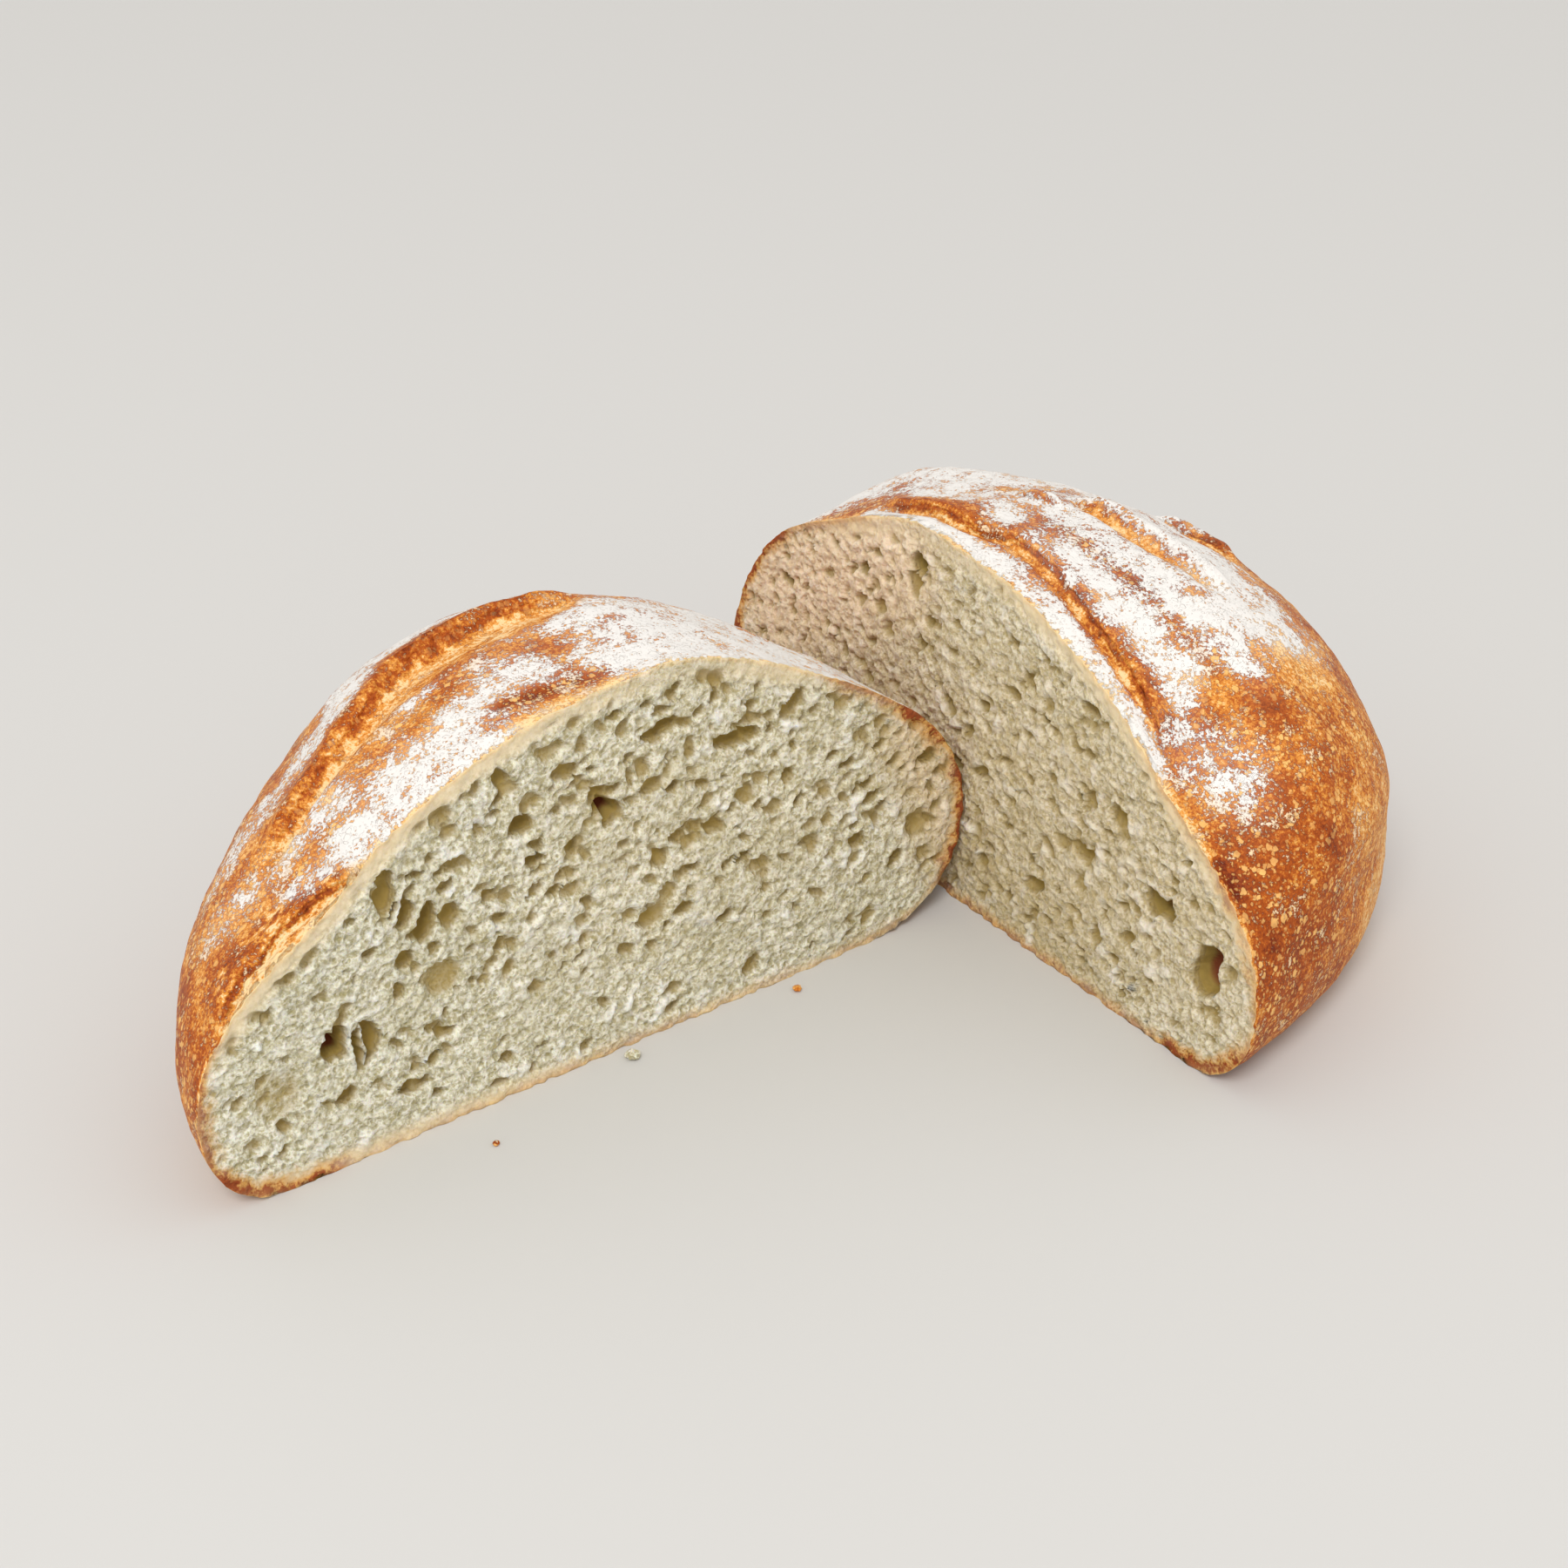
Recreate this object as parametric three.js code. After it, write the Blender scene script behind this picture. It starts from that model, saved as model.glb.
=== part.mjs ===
import * as THREE from 'three';

// A round sourdough loaf, 190 mm wide, cut straight down into two unequal halves.
// Millimetres, +Z up, standing on z = 0. Each half is lofted from the same cut outline.

// driving dimensions
const coreHeight = 30;        // height of the widest part of the loaf, where the nose of each half ends
const domeRise = 58.6;        // the even dome's rise above that height
const domeReach = 95.4;       // half the even dome's width
const bottomSink = 1.0;       // how far the rounded underside would pass below the floor before it is flattened
const outlineSteps = 84;      // points around the cut outline
const ringSteps = 18;         // rings from the cut face to the nose

// The cut outline, seen from the cut face: [across, up]. Flat underneath, domed and a little lopsided.
const cutOutline = [
  [-94.6, 24], [-91, 37], [-81, 48.5], [-63, 60.5], [-50, 71], [-34, 79], [-15, 85.2], [6, 87.4],
  [20, 87.6], [36, 82.6], [56, 72.2], [72, 62], [85, 51], [93, 39], [95.4, 26], [92, 12.5],
  [80, 3.2], [62, 0], [20, 0], [-25, 0], [-66, 0], [-84, 2.6], [-92, 11],
];

const frontHalf = {
  name: 'front_half',
  depth: 80.4,          // from the cut face to the nose
  planRoundness: 1.8,   // 2 is an ellipse seen from above
  topRoundness: 2.75,   // 2 is an ellipse seen from the side
  underRoundness: 5,
  pinch: -0.013,        // narrows the plan behind the cut
  swell: 0.024,         // rise of the top behind the cut
  drift: 11.9,          // sideways lean of the nose
  domeBlend: 1.2,       // where the lopsided cut outline has become an even dome
  mirrored: false,
  position: [-36.5, -110.8],
  turn: 37.1,           // degrees about Z
  slashes: [{ from: [-58, 27], to: [18, 30], ear: 12, earHeight: 2.2, depth: 2.4, width: 6 }],
};

const rearHalf = {
  name: 'rear_half',
  depth: 83.3,
  planRoundness: 2.4,
  topRoundness: 2.4,
  underRoundness: 5,
  pinch: -0.065,
  swell: 0.044,
  drift: -0.7,
  domeBlend: 0.42,
  mirrored: true,
  position: [40.35, -52.45],
  turn: -54.56,
  slashes: [
    { from: [-54, 4], to: [40, 4], ear: 7, earHeight: 1.6, depth: 2.2, width: 4 },
    { from: [-40, 38], to: [6, 33], ear: 9, earHeight: 3.0, depth: 2.4, width: 6 },
  ],
};

// crumbs that fell from the cut: place, radius, flattening and turn
const crumbs = [
  { name: 'crumb_white', position: [-31.7, -112.8], radius: 1.7, flat: 0.7, turn: 20 },
  { name: 'crumb_crust', position: [2.9, -87.7], radius: 1.1, flat: 0.6, turn: 65 },
  { name: 'crumb_small', position: [-58.1, -142.5], radius: 0.8, flat: 0.6, turn: 110 },
];

const bread = new THREE.MeshStandardMaterial({ color: 0xc98545, roughness: 0.85, metalness: 0 });
const crumbWhite = new THREE.MeshStandardMaterial({ color: 0xe6dfc8, roughness: 0.95, metalness: 0 });
const crumbBrown = new THREE.MeshStandardMaterial({ color: 0xa86a35, roughness: 0.9, metalness: 0 });

const degrees = Math.PI / 180;

// evenly spaced points on the cut outline, counter-clockwise as seen from inside the loaf
function outlinePoints() {
  const corners = cutOutline.map(([across, up]) => new THREE.Vector3(across, 0, up));
  const curve = new THREE.CatmullRomCurve3(corners, true, 'centripetal');
  const points = curve.getSpacedPoints(outlineSteps);
  points.pop();
  return points;
}

// a quarter of a superellipse: 1 at the cut face, 0 at the nose
function superQuarter(t, roundness) {
  return Math.pow(Math.max(0, 1 - Math.pow(t, roundness)), 1 / roundness);
}

// height added by a slash: a shallow opened groove with a raised ear along its far side
function slashRelief(slash, across, depth) {
  const along = (across - slash.from[0]) / (slash.to[0] - slash.from[0]);
  const line = slash.from[1] + (slash.to[1] - slash.from[1]) * along;
  const fade = THREE.MathUtils.smoothstep(along, -0.15, 0.15) * (1 - THREE.MathUtils.smoothstep(along, 0.85, 1.15));
  const groove = Math.exp(-(((depth - line) / slash.width) ** 2));
  const ear = Math.exp(-(((depth - line - slash.ear) / (slash.width * 0.6)) ** 2));
  return fade * (slash.earHeight * ear - slash.depth * groove);
}

// one point of the crust, at a fraction t of the way from the cut face to the nose
function crustPoint(half, rim, t) {
  const plan = superQuarter(t, half.planRoundness) * (1 + half.pinch * Math.sin(Math.PI * t));
  const top = superQuarter(t, half.topRoundness) * (1 + half.swell * Math.sin(Math.PI * t));
  const under = superQuarter(t, half.underRoundness) * (1 + bottomSink / coreHeight);
  const across = rim.x * plan + half.drift * t * t;
  const depth = half.depth * t;
  const lift = rim.z - coreHeight;
  if (lift <= 0) {
    return new THREE.Vector3(across, depth, Math.max(0, coreHeight + lift * under));
  }
  const blend = THREE.MathUtils.smoothstep(t, 0, half.domeBlend);
  const evenLift = domeRise * superQuarter(Math.min(1, Math.abs(rim.x) / domeReach), 2.2);
  const height = coreHeight + THREE.MathUtils.lerp(lift, evenLift, blend) * top;
  const onTop = THREE.MathUtils.smoothstep(lift, 20, 35);
  const relief = half.slashes.reduce((sum, slash) => sum + slashRelief(slash, across, depth), 0);
  return new THREE.Vector3(across, depth, height + onTop * relief);
}

function halfGeometry(half) {
  const rims = outlinePoints();
  const count = rims.length;
  const positions = [];
  for (let ring = 0; ring < ringSteps; ring += 1) {
    const t = Math.sin((Math.PI / 2) * (ring / ringSteps));
    for (const rim of rims) {
      const point = crustPoint(half, rim, t);
      positions.push(half.mirrored ? -point.x : point.x, point.y, point.z);
    }
  }
  const nose = positions.length / 3;
  positions.push(half.mirrored ? -half.drift : half.drift, half.depth, coreHeight);
  const cutMiddle = nose + 1;
  positions.push(0, 0, coreHeight);

  const triangles = [];
  const face = (a, b, c) => triangles.push(...(half.mirrored ? [a, b, c] : [a, c, b]));
  for (let i = 0; i < count; i += 1) {
    const j = (i + 1) % count;
    face(cutMiddle, i, j);
    for (let ring = 0; ring < ringSteps - 1; ring += 1) {
      const near = ring * count;
      const far = near + count;
      face(near + i, far + i, far + j);
      face(near + i, far + j, near + j);
    }
    const last = (ringSteps - 1) * count;
    face(last + i, nose, last + j);
  }
  const geometry = new THREE.BufferGeometry();
  geometry.setAttribute('position', new THREE.Float32BufferAttribute(positions, 3));
  geometry.setIndex(triangles);
  geometry.computeVertexNormals();
  return geometry;
}

function makeHalf(half) {
  const mesh = new THREE.Mesh(halfGeometry(half), bread.clone());
  mesh.name = half.name;
  mesh.position.set(half.position[0], half.position[1], 0);
  mesh.rotation.z = half.turn * degrees;
  return mesh;
}

function makeCrumb(crumb, material) {
  const geometry = new THREE.DodecahedronGeometry(crumb.radius, 0);
  geometry.scale(1.2, 0.9, crumb.flat);
  geometry.computeBoundingBox();
  const mesh = new THREE.Mesh(geometry, material);
  mesh.name = crumb.name;
  mesh.position.set(crumb.position[0], crumb.position[1], -geometry.boundingBox.min.z);
  mesh.rotation.z = crumb.turn * degrees;
  return mesh;
}

const loaf = new THREE.Group();
loaf.add(makeHalf(frontHalf), makeHalf(rearHalf));
for (const crumb of crumbs) {
  loaf.add(makeCrumb(crumb, crumb.name === 'crumb_white' ? crumbWhite : crumbBrown));
}

// the origin is on the floor, under the middle of the whole object's box
const middle = new THREE.Box3().setFromObject(loaf, true).getCenter(new THREE.Vector3());
loaf.position.set(-middle.x, -middle.y, 0);

const part = new THREE.Group();
part.add(loaf);

export default part;
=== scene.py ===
import math

import bpy
import numpy as np
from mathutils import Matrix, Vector


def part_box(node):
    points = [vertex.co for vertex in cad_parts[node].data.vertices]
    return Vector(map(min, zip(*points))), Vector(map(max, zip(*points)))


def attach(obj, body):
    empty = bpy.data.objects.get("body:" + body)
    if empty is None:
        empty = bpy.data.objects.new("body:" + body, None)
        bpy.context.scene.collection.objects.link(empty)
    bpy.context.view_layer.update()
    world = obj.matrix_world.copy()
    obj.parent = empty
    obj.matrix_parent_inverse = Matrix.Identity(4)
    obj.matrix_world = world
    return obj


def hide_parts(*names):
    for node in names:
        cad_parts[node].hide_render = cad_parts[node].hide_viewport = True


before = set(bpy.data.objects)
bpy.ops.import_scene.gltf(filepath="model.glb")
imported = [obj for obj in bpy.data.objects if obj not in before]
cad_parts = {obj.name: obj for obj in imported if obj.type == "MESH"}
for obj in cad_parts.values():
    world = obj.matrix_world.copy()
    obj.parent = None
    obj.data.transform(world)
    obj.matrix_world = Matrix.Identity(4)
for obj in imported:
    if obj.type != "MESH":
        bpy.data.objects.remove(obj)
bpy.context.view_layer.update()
mm = 0.001

# the loaf: the same cut outline and dome that its plain solids have, in mm
loaf = {
    "coreHeight": 30.0,      # height of the widest part
    "domeRise": 58.6,        # rise of the even dome above that height
    "domeReach": 95.4,       # half the width of the even dome
    "bottomSink": 1.0,       # how much of the round underside the table flattens
    "underRoundness": 5.0,
    "bowing": 2.2,           # how squarely the even dome falls off to its sides
    "middle": (0.0, 38.0),   # a point well inside the cut face
    "outline": [             # across, up, seen from the cut face
        (-94.6, 24), (-91, 37), (-81, 48.5), (-63, 60.5), (-50, 71), (-34, 79), (-15, 85.2), (6, 87.4),
        (20, 87.6), (36, 82.6), (56, 72.2), (72, 62), (85, 51), (93, 39), (95.4, 26), (92, 12.5),
        (80, 3.2), (62, 0), (20, 0), (-25, 0), (-66, 0), (-84, 2.6), (-92, 11),
    ],
    "faceAcross": 164,       # squares over the cut face before its last subdivision
    "faceUp": 76,
    "depthSteps": 96,        # rings of the crust, from the cut to the nose
    "outlineSteps": 1440,    # fine points round the outline
}


def smoothStep(x, low, high):
    t = np.clip((x - low) / (high - low), 0, 1)
    return t * t * (3 - 2 * t)


def superQuarter(t, roundness):
    return np.clip(1 - np.clip(t, 0, 1) ** roundness, 0, 1) ** (1 / roundness)


def closedCurve(corners, count):
    # a closed centripetal Catmull-Rom curve through the corners, cut into even steps
    points = np.array(corners, float)
    total = len(points)
    pointsPerCorner = 60
    pieces = []
    for i in range(total):
        p0, p1, p2, p3 = (points[(i + k) % total] for k in (-1, 0, 1, 2))
        k0 = 0.0
        k1 = k0 + np.linalg.norm(p1 - p0) ** 0.5
        k2 = k1 + np.linalg.norm(p2 - p1) ** 0.5
        k3 = k2 + np.linalg.norm(p3 - p2) ** 0.5
        t = np.linspace(k1, k2, pointsPerCorner, endpoint=False)[:, None]
        a1 = (k1 - t) / (k1 - k0) * p0 + (t - k0) / (k1 - k0) * p1
        a2 = (k2 - t) / (k2 - k1) * p1 + (t - k1) / (k2 - k1) * p2
        a3 = (k3 - t) / (k3 - k2) * p2 + (t - k2) / (k3 - k2) * p3
        b1 = (k2 - t) / (k2 - k0) * a1 + (t - k0) / (k2 - k0) * a2
        b2 = (k3 - t) / (k3 - k1) * a2 + (t - k1) / (k3 - k1) * a3
        pieces.append((k2 - t) / (k2 - k1) * b1 + (t - k1) / (k2 - k1) * b2)
    fine = np.vstack(pieces + [pieces[0][:1]])
    along = np.concatenate([[0], np.cumsum(np.linalg.norm(np.diff(fine, axis=0), axis=1))])
    even = np.linspace(0, along[-1], count, endpoint=False)
    return np.stack([np.interp(even, along, fine[:, k]) for k in (0, 1)], axis=1)


def softNoise(points, size, seed):
    # smooth random values from -1 to 1 with features of about that size, for an array of 3-D points
    side = 32
    lattice = np.random.default_rng(seed).uniform(-1, 1, (side, side, side))
    scaled = points / size
    cell = np.floor(scaled).astype(int)
    part = scaled - cell
    part = part * part * (3 - 2 * part)
    value = np.zeros(points.shape[:-1])
    for corner in range(8):
        step = np.array([corner & 1, (corner >> 1) & 1, corner >> 2])
        weight = np.prod(np.where(step == 1, part, 1 - part), axis=-1)
        at = (cell + step) % side
        value += weight * lattice[at[..., 0], at[..., 1], at[..., 2]]
    return value


def layeredNoise(points, size, seed, layers=3):
    total = np.zeros(points.shape[:-1])
    for layer in range(layers):
        total += softNoise(points, size / 2 ** layer, seed + layer) * 0.5 ** layer
    return total


edgeLine = closedCurve(loaf["outline"], loaf["outlineSteps"])
middleAcross, middleUp = loaf["middle"]
edgeAngle = np.arctan2(edgeLine[:, 1] - middleUp, edgeLine[:, 0] - middleAcross)
edgeRadius = np.hypot(edgeLine[:, 0] - middleAcross, edgeLine[:, 1] - middleUp)
edgeOrder = np.argsort(edgeAngle)
edgeAngle = edgeAngle[edgeOrder]
edgeRadius = edgeRadius[edgeOrder]


def discPoint(s, t):
    # a square from -1 to 1 becomes the cut outline: angle round its middle, and how far out, from 0 to 1
    halfWidth, halfHeight = 95, 45
    x = s * np.sqrt(1 - t * t / 2)
    y = t * np.sqrt(1 - s * s / 2)
    angle = np.arctan2(y * halfHeight, x * halfWidth)
    return angle, np.clip(np.hypot(x, y), 0, 1)


def facePoint(angle, out):
    radius = np.interp(angle, edgeAngle, edgeRadius, period=2 * math.pi)
    across = middleAcross + out * radius * np.cos(angle)
    up = middleUp + out * radius * np.sin(angle)
    return across, up


def rimAngles():
    # the angles of the face grid's border, once round, so that crust and cut face meet point to point
    wide = np.linspace(-1, 1, loaf["faceAcross"] + 1)
    tall = np.linspace(-1, 1, loaf["faceUp"] + 1)
    s = np.concatenate([wide[:-1], np.ones(len(tall) - 1), wide[:0:-1], -np.ones(len(tall) - 1)])
    t = np.concatenate([-np.ones(len(wide) - 1), tall[:-1], np.ones(len(wide) - 1), tall[:0:-1]])
    return discPoint(s, t)[0]


def insideDistance(across, up):
    # distance in mm from points on the cut face to its outline
    shape = across.shape
    points = np.stack([across.ravel(), up.ravel()], axis=1)
    nearest = np.full(len(points), np.inf)
    blockSize = 120
    for start in range(0, len(edgeLine), blockSize):
        block = edgeLine[start:start + blockSize]
        gap = (points[:, None, 0] - block[None, :, 0]) ** 2 + (points[:, None, 1] - block[None, :, 1]) ** 2
        nearest = np.minimum(nearest, gap.min(axis=1))
    return np.sqrt(nearest).reshape(shape)


def strokeAmount(across, depth, strokes):
    # how strongly a list of soft strokes covers each point: from, to, width, amount
    total = np.zeros(across.shape)
    for (u1, v1), (u2, v2), width, amount in strokes:
        du, dv = u2 - u1, v2 - v1
        along = np.clip(((across - u1) * du + (depth - v1) * dv) / (du * du + dv * dv), 0, 1)
        gap = np.hypot(across - u1 - along * du, depth - v1 - along * dv)
        total = np.maximum(total, amount * np.exp(-(gap / width) ** 2))
    return total


slashCut = {                   # the section every slash has, in mm
    "wall": (-2.2, 0.9),         # from the floor's edge up to the ear's crest
    "floorStart": 0.35,          # the floor is at its full depth by this share of its width
    "crest": 0.4,                # the ear falls away again behind this distance
    "farAway": 99.0,
    "colourReach": 15,
    "colourBehind": (5, 8),      # the ear's colours fade out between these
    "colourFront": 3,
}


def slashShape(half, across, depth):
    # relief of the slashes in mm, a mask of their opened floors, and for the colours: the signed distance
    # to the nearest ear in mm and how near its slash is at all
    relief = np.zeros(across.shape)
    opened = np.zeros(across.shape)
    nearest = np.full(across.shape, slashCut["farAway"])
    window = np.zeros(across.shape)
    points = np.stack([across, depth, np.zeros(across.shape)], axis=-1)
    waver = softNoise(points, 14, half["seed"] + 40) * 1.2
    waver = waver + softNoise(points, 4, half["seed"] + 41) * 0.5
    for slash in half["slashes"]:
        corners = slash["line"]
        line = np.interp(across, [p[0] for p in corners], [p[1] for p in corners])
        width = np.interp(across, [p[0] for p in corners], [p[2] for p in corners])
        start, end, soft = corners[0][0], corners[-1][0], slash["ends"]
        fade = smoothStep(across, start - soft, start + soft)
        fade = fade * (1 - smoothStep(across, end - soft, end + soft))
        gap = depth - line + waver * slash["waver"]
        wall = smoothStep(gap, *slashCut["wall"])
        floor = smoothStep(gap, -width, -width * slashCut["floorStart"]) * (1 - wall)
        behind = np.clip(gap - slashCut["crest"], 0, slashCut["farAway"])
        lip = wall * np.exp(-behind / slash["earLength"])
        relief += fade * (slash["earHeight"] * lip - slash["depth"] * floor)
        opened = np.maximum(opened, fade * floor)
        reach = fade * (1 - smoothStep(gap, *slashCut["colourBehind"]))
        reach = reach * (1 - smoothStep(-gap, width, width + slashCut["colourFront"]))
        closer = np.abs(gap) < np.abs(nearest)
        nearest = np.where(closer, np.clip(gap, -slashCut["colourReach"], slashCut["colourReach"]), nearest)
        window = np.where(closer, reach * slash["dark"], window)
    return relief, opened, nearest, window


crustSurface = {               # lengths and heights in mm, the rest are shares from 0 to 1
    "slashedAbove": (32, 46),
    "risesFromTable": (0.5, 7),
    "calmAtCut": (0, 6),
    "waveHeight": 0.9,
    "waveSize": 26,
    "rippleHeight": 0.35,
    "rippleSize": 9,
    "blisterHeight": 0.16,
    "blisterSize": 3.2,
    "pimpleHeight": 0.12,
    "pimpleSize": 2.0,
    "tornHeight": 0.5,
    "tornSize": 2.4,
    "crackDepth": 1.3,
    "patchSize": 22,
    "mottleSize": 7,
    "bakedUnevenly": 0.12,
    "bakedEars": 0.07,
    "earCrest": 1.5,
    "earWidth": 2.5,
    "bakedCracks": 0.5,
    "paleFloors": 0.36,
    "paleRimDepth": (0.8, 3.2),
    "paleRimAbove": (30, 55),
    "paleFoot": 0.12,
    "paleFootUpTo": (2, 16),
    "flouredAbove": (34, 56),
    "dustedAbove": (45, 78),
    "flourPatches": 0.3,
    "patchyFrom": (0.05, 0.5),
    "bareEars": 0.35,
    "bareCracks": 0.5,
}


def crustSheet(half):
    # every point of the crust as [ring, around], with its colour masks
    skin = crustSurface
    angles = rimAngles()
    across0, up0 = facePoint(angles, np.ones(angles.shape))
    t = np.sin(0.5 * math.pi * np.linspace(0, 1, loaf["depthSteps"] + 1))[:, None]
    core = loaf["coreHeight"]
    plan = superQuarter(t, half["planRoundness"]) * (1 + half["pinch"] * np.sin(math.pi * t))
    top = superQuarter(t, half["topRoundness"]) * (1 + half["swell"] * np.sin(math.pi * t))
    under = superQuarter(t, loaf["underRoundness"]) * (1 + loaf["bottomSink"] / core)
    lift = (up0 - core)[None]
    evenLift = loaf["domeRise"] * superQuarter(np.abs(across0) / loaf["domeReach"], loaf["bowing"])[None]
    mixed = lift + (evenLift - lift) * smoothStep(t, 0, half["domeBlend"])
    across = across0[None] * plan + half["drift"] * t * t
    depth = np.broadcast_to(half["depth"] * t, across.shape)
    height = np.where(lift > 0, core + mixed * top, np.maximum(0, core + lift * under))
    plain = np.stack([across, depth, height], axis=-1)

    sideways = np.roll(plain, -1, axis=1) - np.roll(plain, 1, axis=1)
    inward = np.gradient(plain, axis=0)
    normal = np.cross(inward, sideways)
    normal /= np.maximum(np.linalg.norm(normal, axis=-1, keepdims=True), 1e-9)
    normal[-1] = (0, 1, 0)

    seed = half["seed"]
    onTop = smoothStep(height, *skin["slashedAbove"])
    relief, opened, gap, window = slashShape(half, across, depth)
    relief = relief * onTop
    opened = opened * onTop
    window = window * onTop
    ears = window * np.exp(-((gap - skin["earCrest"]) / skin["earWidth"]) ** 2)
    standing = smoothStep(height, *skin["risesFromTable"])
    waves = skin["waveHeight"] * softNoise(plain, skin["waveSize"], seed)
    waves = waves + skin["rippleHeight"] * softNoise(plain, skin["rippleSize"], seed + 1)
    blisters = skin["blisterHeight"] * softNoise(plain, skin["blisterSize"], seed + 2)
    blisters = blisters + skin["pimpleHeight"] * np.abs(softNoise(plain, skin["pimpleSize"], seed + 3))
    torn = opened * (skin["tornHeight"] * softNoise(plain * (0.35, 1, 1), skin["tornSize"], seed + 4))
    cracks = strokeAmount(across, depth, half["cracks"]) * onTop
    move = relief + standing * (waves * smoothStep(depth, *skin["calmAtCut"]) + blisters)
    move = move + torn - skin["crackDepth"] * cracks
    placed = plain + normal * move[..., None]
    placed[..., 2] = np.maximum(placed[..., 2], 0)
    placed[0, :, 1] = 0
    placed[-1] = plain[-1] + normal[-1] * move[-1].mean()

    patches = layeredNoise(plain, skin["patchSize"], seed + 10)
    mottle = layeredNoise(plain, skin["mottleSize"], seed + 14)
    flour = strokeAmount(across, depth, half["flour"]) * smoothStep(height, *skin["flouredAbove"])
    flour = flour + skin["flourPatches"] * patches * smoothStep(flour, *skin["patchyFrom"])
    flour = flour + half["dusting"] * smoothStep(height, *skin["dustedAbove"])
    flour = flour - opened * half["bareSlash"] - skin["bareEars"] * ears - skin["bareCracks"] * cracks
    flour = np.clip(flour - strokeAmount(across, depth, half["bald"]), 0, 1)
    bake = half["bake"] + skin["bakedUnevenly"] * patches + skin["bakedUnevenly"] * mottle
    bake = bake + skin["bakedEars"] * ears + skin["bakedCracks"] * cracks
    bake = bake - skin["paleFloors"] * opened
    rimShare = half["paleRim"] * (1 - smoothStep(depth, *skin["paleRimDepth"]))
    bake = bake - rimShare * smoothStep(height, *skin["paleRimAbove"])
    bake = bake + strokeAmount(across, depth, half["darker"]) - strokeAmount(across, depth, half["paler"])
    bake = bake - skin["paleFoot"] * (1 - smoothStep(height, *skin["paleFootUpTo"]))
    masks = {"flour": flour, "bake": np.clip(bake, 0, 1), "slashGap": gap, "slashNear": window}
    return plain, placed, masks


crumbSurface = {               # in mm
    "cell": 0.25,                # fineness of the map of the holes
    "left": -100,
    "right": 100,
    "bottom": -2,
    "top": 94,
    "bend": 0.9,                 # how far outlines of holes wander
    "bendSize": 3.4,
    "wobble": 0.45,
    "wobbleSize": 1.3,
    "poresAcross": (-96, 96),    # where small pores are sown
    "poresUp": (1, 88),
    "scatter": 0.45,             # how far they stray, to their spacing
    "stretch": (1.0, 1.7),
    "lean": 0.7,
    "depthSpread": (0.7, 1.2),
    "sharpPores": 0.4,           # lower makes walls steeper and floors flatter
    "sharpHoles": 0.35,
    "crumble": 0.26,
    "tufts": 0.65,
    "rimFade": (0.5, 1.8),       # holes fade out towards the rim between these
    "denseFade": 4.2,            # and this much later where the crumb is dense
    "tornRim": 0.45,
    "tornRimSize": 1.7,
    "fullPit": 6.0,              # a hole this deep takes the darkest colour
}


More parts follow.
